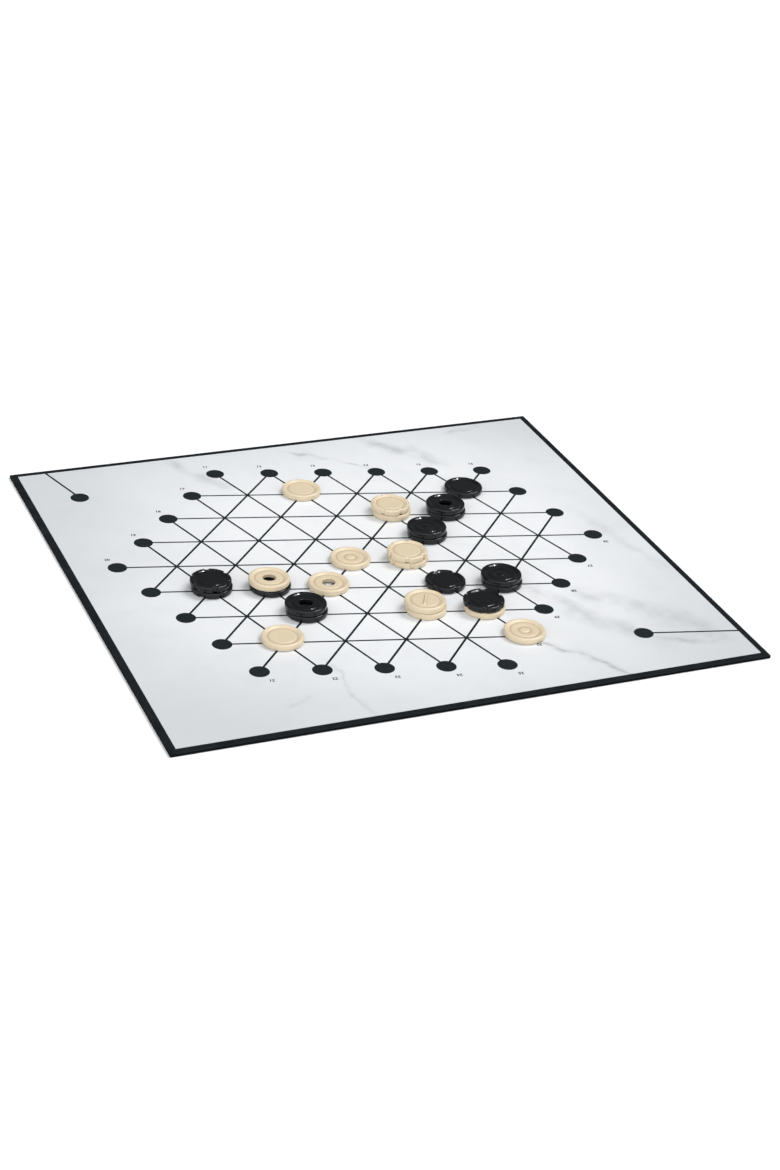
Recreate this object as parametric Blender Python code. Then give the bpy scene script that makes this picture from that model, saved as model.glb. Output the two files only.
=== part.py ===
"""Abstract strategy board game: a paper-covered board and 27 moulded discs standing on it.

Metres, +Z up. The origin is the middle of the board's underside. +X runs along the
board's long side and +Y along its short side.
"""

import math

import bmesh
import bpy
from mathutils import Matrix

# The printed lattice: crossings stand one pitch apart in rows turned from the long side
PITCH = 0.040
ROW_STEP = math.sqrt(3) / 2
LATTICE_TURN = math.radians(-12.9)
MIDDLE_COLUMN = 2.369
MIDDLE_ROW = 3.398 / ROW_STEP

# The board, from the underside up
BOARD_LENGTH = 0.412
BOARD_WIDTH = 0.380
WRAP_THICKNESS = 0.00025
CORE_EDGE_THICKNESS = 0.0016
LAYER_GAP = 0.00005
TURN_IN_WIDTH = 0.012
TURN_IN_CLEARANCE = 0.0003
BORDER_WIDTH = 0.005
FACE_THICKNESS = 0.0002
CORE_BOTTOM = WRAP_THICKNESS + LAYER_GAP
TURN_IN_BOTTOM = CORE_BOTTOM + CORE_EDGE_THICKNESS + LAYER_GAP
TURN_IN_TOP = TURN_IN_BOTTOM + WRAP_THICKNESS
FACE_BOTTOM = TURN_IN_TOP + LAYER_GAP
FACE_TOP = FACE_BOTTOM + FACE_THICKNESS

# The discs
DISC_RADIUS = 0.014
DISC_HEIGHT = 0.0044
EDGE_CHAMFER = 0.0006
RIM_INNER_RADIUS = 0.0110
GROOVE_RADIUS = 0.0096
PLATEAU_RADIUS = 0.0086
GROOVE_HEIGHT = 0.0034
PLATEAU_HEIGHT = 0.0038
FOOT_INNER_RADIUS = 0.0108
RECESS_RADIUS = 0.0102
RECESS_HEIGHT = 0.0012
HOLE_RADIUS = 0.0045
BUTTON_GROOVE_RADIUS = 0.0035
BUTTON_RADIUS = 0.0022
BUTTON_FLAT_RADIUS = 0.0010
BUTTON_RISE = 0.0003
BAR_WIDTH = 0.0014
BAR_RISE = 0.0004
BAR_DIRECTION = math.radians(62)
NOTCH_COUNT = 6
NOTCH_DEPTH = 0.0013
SEAT_GAP = 0.00005
DISC_SIDES = 24
NOTCHED_SIDES = 48

# All the discs are moved this far off their crossings, to match how they appear to stand;
# why they do is not known
SET_DOWN_ACROSS = -0.0003
SET_DOWN_AWAY = 0.0023
# The two discs of a pair are each moved this far, in opposite ways, so that they don't line up
SLIP_ACROSS = 0.0004
SLIP_AWAY = -0.0002

# Every disc from the far row to the near one: colour, design, place number, column and
# row on the lattice, turn in degrees, and level when two are stacked. A few stand a
# small part of a column or row away from the others' pattern.
DISCS = (
    ("ivory", "plain", 1, 1.5, 1, 0, ""),
    ("ivory", "plain", 2, 3.0, 1.98, 0, "lower"),
    ("ivory", "notched", 2, 3.0, 1.98, 44, "upper"),
    ("black", "plain", 3, 4.5, 1, 0, ""),
    ("black", "hole", 4, 4.0, 2, 0, "lower"),
    ("black", "hole", 4, 4.0, 2, 0, "upper"),
    ("black", "button", 5, 3.5, 3, 0, "lower"),
    ("black", "button", 5, 3.5, 3, 0, "upper"),
    ("ivory", "button", 6, 2.0, 4, 0, ""),
    ("ivory", "notched", 7, 3.0, 4, 20, "lower"),
    ("ivory", "notched", 7, 3.0, 4, 8, "upper"),
    ("black", "notched", 8, -0.48, 5.01, 40, "lower"),
    ("black", "notched", 8, -0.48, 5.01, 24, "upper"),
    ("black", "hole", 9, 0.5, 5, 0, "lower"),
    ("ivory", "hole", 9, 0.5, 5, 0, "upper"),
    ("ivory", "hole", 10, 1.5, 5, 0, ""),
    ("black", "hole", 11, 1.0, 6, 0, "lower"),
    ("black", "hole", 11, 1.0, 6, 0, "upper"),
    ("ivory", "plain", 12, 0.5, 7, 0, ""),
    ("ivory", "bar", 13, 3.0, 6, 40, "lower"),
    ("ivory", "bar", 13, 3.0, 6, 0, "upper"),
    ("black", "notched", 14, 3.5, 5.02, 39, ""),
    ("black", "button", 15, 4.47, 5.03, 0, "lower"),
    ("black", "button", 15, 4.47, 5.03, 0, "upper"),
    ("ivory", "plain", 16, 3.99, 6.03, 0, "lower"),
    ("black", "notched", 16, 3.99, 6.03, 10, "upper"),
    ("ivory", "button", 17, 4.5, 7, 0, ""),
)


def clear_scene():
    for leftover in list(bpy.context.scene.objects):
        bpy.data.objects.remove(leftover, do_unlink=True)


def lattice_point(column, row):
    """Where a crossing lies on the board, from its column and row on the lattice."""
    across = (column - MIDDLE_COLUMN) * PITCH
    down = (row - MIDDLE_ROW) * ROW_STEP * PITCH
    x = across * math.cos(LATTICE_TURN) + down * math.sin(LATTICE_TURN)
    y = across * math.sin(LATTICE_TURN) - down * math.cos(LATTICE_TURN)
    return x, y


def finish(name, colour, roughness):
    material = bpy.data.materials.new(name)
    material.use_nodes = True
    shader = material.node_tree.nodes["Principled BSDF"]
    shader.inputs["Base Color"].default_value = (*colour, 1)
    shader.inputs["Roughness"].default_value = roughness
    shader.inputs["Metallic"].default_value = 0
    return material


def lofted_mesh(name, rings, has_hole=False):
    """A skin through rings of equally many points, each running anticlockwise seen from
    above. The first and last rings are filled, or joined to each other round a hole."""
    shape = bmesh.new()
    loops = [[shape.verts.new(point) for point in ring] for ring in rings]
    following = loops[1:] + (loops[:1] if has_hole else [])
    for lower, upper in zip(loops, following):
        for side in range(len(lower)):
            after = (side + 1) % len(lower)
            shape.faces.new((lower[side], lower[after], upper[after], upper[side]))
    if not has_hole:
        shape.faces.new(list(reversed(loops[0])))
        shape.faces.new(loops[-1])
    bmesh.ops.recalc_face_normals(shape, faces=shape.faces)
    mesh = bpy.data.meshes.new(name)
    shape.to_mesh(mesh)
    shape.free()
    return mesh


def add_piece(name, mesh, material, place=(0, 0, 0), turn=0):
    piece = bpy.data.objects.new(name, mesh)
    piece.location = place
    piece.rotation_euler.z = turn
    if not mesh.materials:
        mesh.materials.append(material)
    bpy.context.scene.collection.objects.link(piece)
    return piece


# ---- Board -------------------------------------------------------------------------


def rectangle(inset, height):
    """The board's outline moved in by an inset, at a height."""
    half_length = BOARD_LENGTH / 2 - inset
    half_width = BOARD_WIDTH / 2 - inset
    corners = ((-1, -1), (1, -1), (1, 1), (-1, 1))
    return [(x * half_length, y * half_width, height) for x, y in corners]


def dark_wrap_cover(material):
    """Covering paper: the back, the four edges, and the part turned in over the top."""
    rings = (
        rectangle(0, 0),
        rectangle(0, TURN_IN_TOP),
        rectangle(TURN_IN_WIDTH, TURN_IN_TOP),
        rectangle(TURN_IN_WIDTH, TURN_IN_BOTTOM),
        rectangle(WRAP_THICKNESS, TURN_IN_BOTTOM),
        rectangle(WRAP_THICKNESS, WRAP_THICKNESS),
    )
    add_piece("dark_wrap_cover", lofted_mesh("wrap", rings), material)


def greyboard_core(material):
    """Stiff panel. Its edges are pressed thinner where the cover is turned in over them."""
    edge = WRAP_THICKNESS + LAYER_GAP
    field = TURN_IN_WIDTH + TURN_IN_CLEARANCE
    edge_top = CORE_BOTTOM + CORE_EDGE_THICKNESS
    rings = (
        rectangle(edge, CORE_BOTTOM),
        rectangle(edge, edge_top),
        rectangle(field, edge_top),
        rectangle(field, TURN_IN_TOP),
    )
    add_piece("greyboard_core", lofted_mesh("core", rings), material)


def printed_face_sheet(material):
    """Printed sheet, laid over the core and over most of the turned-in cover."""
    rings = (rectangle(BORDER_WIDTH, FACE_BOTTOM), rectangle(BORDER_WIDTH, FACE_TOP))
    add_piece("printed_face_sheet", lofted_mesh("face", rings), material)


# ---- Discs -------------------------------------------------------------------------


def notch_at(side, sides):
    """How far the edge of a notched disc is cut back at one of its sides."""
    return NOTCH_DEPTH if side % (sides // NOTCH_COUNT) == 0 else 0


def disc_ring(radius, height, sides, notched_edge=False):
    ring = []
    for side in range(sides):
        angle = 2 * math.pi * side / sides
        reach = radius - (notch_at(side, sides) if notched_edge else 0)
        ring.append((reach * math.cos(angle), reach * math.sin(angle), height))
    return ring


def underside(sides):
    """Rings from the middle of the sunk underside out to the inner edge of the foot."""
    return [
        disc_ring(RECESS_RADIUS, RECESS_HEIGHT, sides),
        disc_ring(FOOT_INNER_RADIUS, 0, sides),
    ]


def outer_wall(sides, notched):
    """Rings up the outside, from the foot that a disc stands on to the top of its rim."""
    low = DISC_RADIUS - EDGE_CHAMFER
    return [
        disc_ring(low, 0, sides, notched),
        disc_ring(DISC_RADIUS, EDGE_CHAMFER, sides, notched),
        disc_ring(DISC_RADIUS, DISC_HEIGHT - EDGE_CHAMFER, sides, notched),
        disc_ring(low, DISC_HEIGHT, sides, notched),
    ]


def groove(sides):
    """Rings from the rim's inner edge down into the groove and up onto the plateau."""
    return [
        disc_ring(RIM_INNER_RADIUS, DISC_HEIGHT, sides),
        disc_ring(GROOVE_RADIUS, GROOVE_HEIGHT, sides),
        disc_ring(PLATEAU_RADIUS, PLATEAU_HEIGHT, sides),
    ]


def shell(sides, notched=False):
    return underside(sides) + outer_wall(sides, notched) + groove(sides)


def plain_disc():
    return lofted_mesh("plain", shell(DISC_SIDES))


def notched_disc():
    return lofted_mesh("notched", shell(NOTCHED_SIDES, True))


def button_disc():
    """A small groove in the plateau leaves a low round button in the middle."""
    button = [
        disc_ring(BUTTON_GROOVE_RADIUS, GROOVE_HEIGHT, DISC_SIDES),
        disc_ring(BUTTON_RADIUS, PLATEAU_HEIGHT, DISC_SIDES),
        disc_ring(BUTTON_FLAT_RADIUS, PLATEAU_HEIGHT + BUTTON_RISE, DISC_SIDES),
    ]
    return lofted_mesh("button", shell(DISC_SIDES) + button)


def hole_disc():
    """A round hole goes through the thin web between plateau and sunk underside."""
    hole = [
        disc_ring(HOLE_RADIUS, PLATEAU_HEIGHT, DISC_SIDES),
        disc_ring(HOLE_RADIUS, RECESS_HEIGHT, DISC_SIDES),
    ]
    return lofted_mesh("hole", shell(DISC_SIDES) + hole, has_hole=True)


def bar_disc():
    """A straight bar crosses the plateau from one side of the groove to the other."""
    disc = bpy.data.objects.new("bar_blank", plain_disc())
    corners = ((-1, -1), (1, -1), (1, 1), (-1, 1))
    rings = [
        [(x * GROOVE_RADIUS, y * BAR_WIDTH / 2, height) for x, y in corners]
        for height in (GROOVE_HEIGHT - BAR_RISE, PLATEAU_HEIGHT + BAR_RISE)
    ]
    bar = bpy.data.objects.new("bar_guide", lofted_mesh("bar_guide", rings))
    for helper in (disc, bar):
        bpy.context.scene.collection.objects.link(helper)
    joined = disc.modifiers.new("add bar", "BOOLEAN")
    joined.operation = "UNION"
    joined.solver = "EXACT"
    joined.object = bar
    bpy.context.view_layer.update()
    graph = bpy.context.evaluated_depsgraph_get()
    mesh = bpy.data.meshes.new_from_object(disc.evaluated_get(graph))
    for helper in (disc, bar):
        bpy.data.objects.remove(helper, do_unlink=True)
    mesh.transform(Matrix.Rotation(BAR_DIRECTION, 4, "Z"))
    mesh.name = "bar"
    return mesh


def add_discs(materials):
    designs = {
        "plain": plain_disc,
        "notched": notched_disc,
        "button": button_disc,
        "hole": hole_disc,
        "bar": bar_disc,
    }
    meshes = {}
    for colour, design, place, column, row, turn, level in DISCS:
        if (colour, design) not in meshes:
            meshes[colour, design] = designs[design]()
            meshes[colour, design].shade_smooth()
            meshes[colour, design].set_sharp_from_angle(angle=math.radians(30))
        seat = FACE_TOP + SEAT_GAP
        if level == "upper":
            seat += DISC_HEIGHT + SEAT_GAP
        name = "_".join(filter(None, (colour, design, "disc", str(place), level)))
        x, y = lattice_point(column, row)
        slip = {"lower": 1, "upper": -1}.get(level, 0)
        x += SET_DOWN_ACROSS + slip * SLIP_ACROSS
        y += SET_DOWN_AWAY + slip * SLIP_AWAY
        add_piece(name, meshes[colour, design], materials[colour], (x, y, seat), math.radians(turn))


def main():
    clear_scene()
    dark_wrap_cover(finish("dark linen paper", (0.034, 0.040, 0.046), 0.7))
    greyboard_core(finish("greyboard", (0.33, 0.31, 0.28), 0.9))
    printed_face_sheet(finish("marble print", (0.80, 0.82, 0.83), 0.45))
    add_discs(
        {
            "ivory": finish("ivory plastic", (0.80, 0.62, 0.42), 0.3),
            "black": finish("black plastic", (0.014, 0.015, 0.017), 0.22),
        }
    )


main()
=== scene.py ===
import math

import bpy
import numpy as np
from mathutils import Matrix, Vector
from mathutils.geometry import delaunay_2d_cdt


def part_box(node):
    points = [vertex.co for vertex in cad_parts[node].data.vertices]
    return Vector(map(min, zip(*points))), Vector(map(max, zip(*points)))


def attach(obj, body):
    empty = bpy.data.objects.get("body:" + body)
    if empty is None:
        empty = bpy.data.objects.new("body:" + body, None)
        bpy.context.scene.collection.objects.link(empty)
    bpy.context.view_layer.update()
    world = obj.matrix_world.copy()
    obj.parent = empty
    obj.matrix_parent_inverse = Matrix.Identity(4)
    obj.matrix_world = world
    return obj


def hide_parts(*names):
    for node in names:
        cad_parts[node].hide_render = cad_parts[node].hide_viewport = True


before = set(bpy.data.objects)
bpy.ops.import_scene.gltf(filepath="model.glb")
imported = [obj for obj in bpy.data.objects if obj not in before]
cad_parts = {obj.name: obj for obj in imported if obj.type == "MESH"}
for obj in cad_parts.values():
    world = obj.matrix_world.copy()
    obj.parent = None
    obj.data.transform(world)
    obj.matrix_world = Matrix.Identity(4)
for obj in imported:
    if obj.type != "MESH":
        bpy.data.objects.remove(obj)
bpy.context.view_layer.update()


# ---- Greyboard panel ----------------------------------------------------------------
# The stiff middle of the board: grey pressed board, 2 mm thick, cut square and then
# pressed thinner along its edges where the covering paper is turned in over it.

panel_low, panel_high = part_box("greyboard_core")
cover_low, cover_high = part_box("dark_wrap_cover")
face_low, face_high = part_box("printed_face_sheet")

CORNER_RADIUS = 0.0008
SHARPEST_CORNER = 0.0002
CORNER_STEPS = 9
SIDE_STEPS = 40
PANEL_EDGE_THICKNESS = 0.0016
PANEL_EDGE_WIDTH = 0.0123
PANEL_ARRIS = 0.00012


def board_outline(inset):
    """Points round the board, anticlockwise, moved in by an inset: four quarter circles
    whose radius shrinks by the inset, joined by straight sides cut into equal steps."""
    radius = max(CORNER_RADIUS - inset, SHARPEST_CORNER)
    middle_x = cover_high.x - inset - radius
    middle_y = cover_high.y - inset - radius
    stretches = []
    for quarter, (side_x, side_y) in enumerate(((1, 1), (-1, 1), (-1, -1), (1, -1))):
        angle = math.pi / 2 * (quarter + np.linspace(0, 1, CORNER_STEPS))
        arc_x = side_x * middle_x + radius * np.cos(angle)
        arc_y = side_y * middle_y + radius * np.sin(angle)
        stretches.append(np.stack([arc_x, arc_y], axis=1))
    outline = []
    for arc, following in zip(stretches, stretches[1:] + stretches[:1]):
        outline.append(arc)
        share = np.linspace(0, 1, SIDE_STEPS + 1)[1:-1, None]
        outline.append(arc[-1] * (1 - share) + following[0] * share)
    return np.concatenate(outline)


def board_rings(profile):
    """The board's outline at each (inset, height) of a profile, as rings x points x 3."""
    rings = []
    for inset, height in profile:
        outline = board_outline(inset)
        rings.append(np.column_stack([outline, np.full(len(outline), height)]))
    return np.array(rings)


def rounded(middle, radius, start, end, steps=5):
    """(inset, height) points on part of a circle, from one angle to another in degrees.
    The angle is 0 towards the outside of the board and 90 upwards."""
    angle = np.radians(np.linspace(start, end, steps))
    insets = middle[0] - radius * np.cos(angle)
    return list(zip(insets, middle[1] + radius * np.sin(angle)))


def skin(name, rings, tube=False):
    """A closed mesh through a stack of rings (rings x points x 3). Each ring is joined
    to the next. A tube's last ring is joined to its first, and otherwise the two end
    rings are each drawn together to their own middle point."""
    count, around = rings.shape[:2]
    index = np.arange(count * around).reshape(count, around)
    ahead = np.roll(index, -1, axis=1)
    here = slice(None) if tube else slice(0, -1)
    above = np.roll(index, -1, axis=0)[here]
    above_ahead = np.roll(ahead, -1, axis=0)[here]
    quads = np.stack([index[here], ahead[here], above_ahead, above], axis=-1)
    points = rings.reshape(-1, 3)
    faces = quads.reshape(-1, 4).tolist()
    if not tube:
        first, last = count * around, count * around + 1
        points = np.vstack([points, rings[0].mean(axis=0), rings[-1].mean(axis=0)])
        faces += [(first, b, a) for a, b in zip(index[0], ahead[0])]
        faces += [(last, a, b) for a, b in zip(index[-1], ahead[-1])]
    mesh = bpy.data.meshes.new(name)
    mesh.from_pydata(points.tolist(), [], [tuple(map(int, face)) for face in faces])
    mesh.shade_smooth()
    piece = bpy.data.objects.new(name, mesh)
    bpy.context.scene.collection.objects.link(piece)
    return piece


def new_material(name, roughness=0.5, specular=0.5):
    """An empty material with one Principled shader. Returns it, its nodes and a function
    that joins an output to an input."""
    material = bpy.data.materials.new(name)
    material.use_nodes = True
    nodes = material.node_tree.nodes
    shader = nodes["Principled BSDF"]
    shader.inputs["Roughness"].default_value = roughness
    shader.inputs["Specular IOR Level"].default_value = specular
    return material, nodes, shader, material.node_tree.links.new


def add_node(nodes, kind, values=None, **settings):
    """A node of one kind, with its settings and the values of its inputs."""
    node = nodes.new(kind)
    for setting, value in settings.items():
        setattr(node, setting, value)
    for socket, value in (values or {}).items():
        node.inputs[socket].default_value = value
    return node


def calculate(nodes, link, operation, *values):
    """A maths node's result. Each value may be a socket or a fixed number."""
    node = add_node(nodes, "ShaderNodeMath", operation=operation)
    for socket, value in zip(node.inputs, values):
        if isinstance(value, bpy.types.NodeSocket):
            link(value, socket)
        else:
            socket.default_value = value
    return node.outputs[0]


def new_group(name, inputs, outputs):
    """A node group with named sockets, each given as {name: (socket type, default)}."""
    group = bpy.data.node_groups.new(name, "ShaderNodeTree")
    for direction, sockets in (("INPUT", inputs), ("OUTPUT", outputs)):
        for label, (kind, default) in sockets.items():
            socket = group.interface.new_socket(label, in_out=direction, socket_type=kind)
            if direction == "INPUT":
                socket.default_value = default
    came_in = group.nodes.new("NodeGroupInput")
    goes_out = group.nodes.new("NodeGroupOutput")
    return group, group.nodes, came_in.outputs, goes_out.inputs, group.links.new


def place_group(nodes, group, values=None):
    """A node that runs a group, with its own values."""
    node = nodes.new("ShaderNodeGroup")
    node.node_tree = group
    for socket, value in (values or {}).items():
        node.inputs[socket].default_value = value
    return node


def mix_colours(nodes, link, share, first, second, blend="MIX"):
    """A node that mixes two colours by a share. Each may be a socket or a fixed colour."""
    mix = add_node(nodes, "ShaderNodeMix", data_type="RGBA", blend_type=blend)
    for socket, value in ((mix.inputs[0], share), (mix.inputs[6], first), (mix.inputs[7], second)):
        if isinstance(value, bpy.types.NodeSocket):
            link(value, socket)
        else:
            socket.default_value = value
    return mix.outputs[2]


def paper_fibre_group():
    """Pulp: fibres as stretched noise in two directions, and cloudy patches between
    them. Tone runs round 1 and darkens or lightens a colour. Height is for a bump."""
    group, nodes, given, out, link = new_group(
        "paper fibre",
        {"Scale": ("NodeSocketFloat", 900.0), "Contrast": ("NodeSocketFloat", 0.2)},
        {"Tone": ("NodeSocketFloat", 1.0), "Height": ("NodeSocketFloat", 0.0)},
    )
    place = add_node(nodes, "ShaderNodeTexCoord")
    layers = []
    for stretch in ((1.0, 0.18, 1.0), (0.2, 1.0, 1.0)):
        mapping = add_node(nodes, "ShaderNodeMapping", {"Scale": stretch, "Rotation": (0, 0, 0.4)})
        noise = add_node(nodes, "ShaderNodeTexNoise", {"Detail": 4.0, "Roughness": 0.6, "Distortion": 0.4})
        link(place.outputs["Object"], mapping.inputs["Vector"])
        link(mapping.outputs["Vector"], noise.inputs["Vector"])
        link(given["Scale"], noise.inputs["Scale"])
        layers.append(noise.outputs["Fac"])
    fibres = calculate(nodes, link, "MAXIMUM", layers[0], layers[1])
    clouds = add_node(nodes, "ShaderNodeTexNoise", {"Scale": 60.0, "Detail": 5.0, "Roughness": 0.55})
    link(place.outputs["Object"], clouds.inputs["Vector"])
    both = add_node(nodes, "ShaderNodeMath", {2: -0.55}, operation="MULTIPLY_ADD")
    half = calculate(nodes, link, "MULTIPLY", fibres, 0.5)
    link(clouds.outputs["Fac"], both.inputs[0])
    both.inputs[1].default_value = 0.5
    whole = calculate(nodes, link, "ADD", half, both.outputs[0])
    tone = calculate(nodes, link, "MULTIPLY_ADD", whole, given["Contrast"], 1.0)
    link(tone, out["Tone"])
    link(fibres, out["Height"])
    return group


paper_fibre = paper_fibre_group()


def greyboard_material():
    """Recycled grey pulp with darker flecks of old print in it."""
    material, nodes, shader, link = new_material("greyboard", roughness=0.9, specular=0.2)
    fibre = place_group(nodes, paper_fibre, {"Scale": 700.0, "Contrast": 0.7})
    place = add_node(nodes, "ShaderNodeTexCoord")
    cells = add_node(nodes, "ShaderNodeTexVoronoi", {"Scale": 420.0, "Randomness": 1.0})
    link(place.outputs["Object"], cells.inputs["Vector"])
    flecks = add_node(nodes, "ShaderNodeMapRange", {
        "From Min": 0.08, "From Max": 0.16, "To Min": 0.45, "To Max": 0.0,
    })
    link(cells.outputs["Distance"], flecks.inputs["Value"])
    pulp = mix_colours(nodes, link, flecks.outputs["Result"], (0.26, 0.25, 0.235, 1), (0.07, 0.07, 0.075, 1))
    toned = mix_colours(nodes, link, 1.0, pulp, fibre.outputs["Tone"], "MULTIPLY")
    link(toned, shader.inputs["Base Color"])
    bump = add_node(nodes, "ShaderNodeBump", {"Strength": 0.4, "Distance": 0.00006})
    link(fibre.outputs["Height"], bump.inputs["Height"])
    link(bump.outputs["Normal"], shader.inputs["Normal"])
    return material


edge_inset = panel_low.x - cover_low.x
edge_top = panel_low.z + PANEL_EDGE_THICKNESS
panel_profile = [
    *rounded((edge_inset + PANEL_ARRIS, panel_low.z + PANEL_ARRIS), PANEL_ARRIS, -90, 0),
    *rounded((edge_inset + PANEL_ARRIS, edge_top - PANEL_ARRIS), PANEL_ARRIS, 0, 90),
    (PANEL_EDGE_WIDTH, edge_top),
    *rounded((PANEL_EDGE_WIDTH + PANEL_ARRIS, panel_high.z - PANEL_ARRIS), PANEL_ARRIS, 0, 90),
]
greyboard_panel = skin("greyboard_panel", board_rings(panel_profile))
greyboard_panel.data.materials.append(greyboard_material())
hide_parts("greyboard_core")
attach(greyboard_panel, "board")


# ---- Linen paper cover --------------------------------------------------------------
# Dark embossed paper glued over the back and round the four edges of the panel, and
# turned in over its top, with its corners folded to a mitre. It shows as a dark border.

PAPER_THICKNESS = 0.00025
FOLD_RADIUS = 0.00045
TURNED_IN = 0.012
TURN_IN_TOP = cover_high.z
FOLD_SOFTNESS = 0.00005
MITRE_DEPTH = 0.00009
THREADS_PER_METRE = 1500.0
# A wave texture of scale 1 runs through this many radians in each metre
WAVE_RADIANS = 20


def cover_profile():
    """(inset, height) from the middle of the back, out round the folded edge, in over
    the top to the cut end of the turned-in strip, and back inside to the middle."""
    fold, thick, top = FOLD_RADIUS, PAPER_THICKNESS, TURN_IN_TOP
    inner = max(fold - thick, 0.00004)
    return [
        (cover_high.y * 0.5, 0.0),
        (0.004, 0.0),
        *rounded((fold, fold), fold, -90, 0, 7),
        *rounded((fold, top - fold), fold, 0, 90, 7),
        (0.0016, top),
        (TURNED_IN - 0.0002, top),
        (TURNED_IN, top - 0.00005),
        (TURNED_IN, top - thick),
        *rounded((thick + inner, top - thick - inner), inner, 90, 0, 4),
        *rounded((thick + inner, thick + inner), inner, 0, -90, 4),
        (cover_high.y * 0.5, thick),
    ]


def linen_cover():
    """The cover's skin. Along the folded edge it wanders in and out by a few hundredths
    of a millimetre, a sum of slow waves, and each corner has a pressed mitre seam."""
    rings = board_rings(cover_profile())
    along = np.arange(rings.shape[1]) / rings.shape[1] * 2 * math.pi
    wander = sum(np.sin(along * pace + phase) / pace**0.5 for pace, phase in ((23, 0), (41, 2), (67, 1)))
    edge = np.clip(rings[:, :, 2] / TURN_IN_TOP, 0, 1) * (np.abs(rings[:, :, 0]) > 0)
    depth_in = np.minimum(cover_high.x - np.abs(rings[:, :, 0]), cover_high.y - np.abs(rings[:, :, 1]))
    near_edge = np.exp(-((depth_in / 0.003) ** 2))
    rings[:, :, 2] -= FOLD_SOFTNESS * near_edge * edge * (0.5 + 0.25 * wander)
    seams = np.zeros(rings.shape[1])
    for quarter in range(4):
        start = quarter * (CORNER_STEPS + SIDE_STEPS - 1)
        seams[start + CORNER_STEPS // 2] = 1
    on_top = (rings[:, :, 2] > TURN_IN_TOP - 0.0001) & (depth_in < TURNED_IN - 0.0001)
    rings[:, :, 2] -= MITRE_DEPTH * seams * on_top
    return skin("linen_paper_cover", rings)


def linen_material():
    """Bookbinder's paper: a woven emboss of two sets of fine ridges, slightly uneven, on
    black-dyed pulp. The ridge tops are rubbed greyer in patches, only on the face: wear, and
    painted light on the face that leaves the folded edges darker as painted shade."""
    material, nodes, shader, link = new_material("linen paper", roughness=0.62, specular=0.03)
    place = add_node(nodes, "ShaderNodeTexCoord")
    wobble = add_node(nodes, "ShaderNodeTexNoise", {"Scale": 260.0, "Detail": 3.0, "Roughness": 0.6})
    link(place.outputs["Object"], wobble.inputs["Vector"])
    shift = add_node(nodes, "ShaderNodeVectorMath", {3: 0.0003}, operation="SCALE")
    link(wobble.outputs["Color"], shift.inputs[0])
    moved = add_node(nodes, "ShaderNodeVectorMath", operation="ADD")
    link(place.outputs["Object"], moved.inputs[0])
    link(shift.outputs[0], moved.inputs[1])
    ridges = []
    for direction in ("X", "Y"):
        wave = add_node(
            nodes, "ShaderNodeTexWave",
            {"Scale": THREADS_PER_METRE * 2 * math.pi / WAVE_RADIANS, "Detail": 0.0},
            bands_direction=direction, wave_profile="SIN",
        )
        link(moved.outputs[0], wave.inputs["Vector"])
        ridges.append(wave.outputs["Fac"])
    weave = calculate(nodes, link, "MAXIMUM", ridges[0], ridges[1])
    fibre = place_group(nodes, paper_fibre, {"Scale": 1300.0, "Contrast": 1.1})
    rub = add_node(nodes, "ShaderNodeTexNoise", {"Scale": 95.0, "Detail": 5.0, "Roughness": 0.65})
    link(place.outputs["Object"], rub.inputs["Vector"])
    parts = add_node(nodes, "ShaderNodeSeparateXYZ")
    link(place.outputs["Object"], parts.inputs[0])
    # Only the face takes the rubbed grey: painted light on the face, painted shade on the folded edges.
    painted_face_light = add_node(nodes, "ShaderNodeMapRange", {
        "From Min": TURN_IN_TOP - FOLD_RADIUS, "From Max": TURN_IN_TOP - FOLD_RADIUS / 4,
    })
    link(parts.outputs["Z"], painted_face_light.inputs["Value"])
    wear_and_face_light = calculate(nodes, link, "MULTIPLY", rub.outputs["Fac"], painted_face_light.outputs["Result"])
    rub_and_face_light = calculate(nodes, link, "MULTIPLY", weave, wear_and_face_light)
    # Black dye, and a grey that is rubbed wear on the ridge tops and painted light on the face.
    dyed = mix_colours(nodes, link, rub_and_face_light, (0.004, 0.005, 0.006, 1), (0.026, 0.032, 0.037, 1))
    toned = mix_colours(nodes, link, 1.0, dyed, fibre.outputs["Tone"], "MULTIPLY")
    link(toned, shader.inputs["Base Color"])
    relief = calculate(nodes, link, "MULTIPLY_ADD", fibre.outputs["Height"], 0.35, weave)
    gloss = add_node(nodes, "ShaderNodeMapRange", {"To Min": 0.72, "To Max": 0.52})
    link(rub_and_face_light, gloss.inputs["Value"])
    link(gloss.outputs["Result"], shader.inputs["Roughness"])
    bump = add_node(nodes, "ShaderNodeBump", {"Strength": 0.5, "Distance": 0.00005})
    link(relief, bump.inputs["Height"])
    link(bump.outputs["Normal"], shader.inputs["Normal"])
    return material


linen_paper_cover = linen_cover()
linen_paper_cover.data.materials.append(linen_material())
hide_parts("dark_wrap_cover")
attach(linen_paper_cover, "board")


# ---- Printed face sheet -------------------------------------------------------------
# A sheet of white paper with a printed marble pattern, glued over the panel inside the
# dark border. Lines of slate ink cross on a triangular lattice and end in round spots.

PITCH = 0.040
ROW_STEP = math.sqrt(3) / 2
LATTICE_TURN = math.radians(-12.9)
MIDDLE_COLUMN = 2.369
MIDDLE_ROW = 3.398 / ROW_STEP
SPOT_RADIUS = 0.0066
LINE_WIDTH = 0.0016
NUMERAL_HEIGHT = 0.0027
NUMERAL_BOLDNESS = 0.00012
SHEET_ARRIS = 0.00004
LAST_LINE_ROW = 7
LATTICE_ROWS = 8


def lattice_point(column, row):
    """A place on the board from its column and row: rows are 0.866 of a pitch apart, and
    the whole lattice is turned a little clockwise on the board."""
    across = (column - MIDDLE_COLUMN) * PITCH
    down = (row - MIDDLE_ROW) * ROW_STEP * PITCH
    x = across * math.cos(LATTICE_TURN) + down * math.sin(LATTICE_TURN)
    y = across * math.sin(LATTICE_TURN) - down * math.cos(LATTICE_TURN)
    return np.array([x, y])


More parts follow.
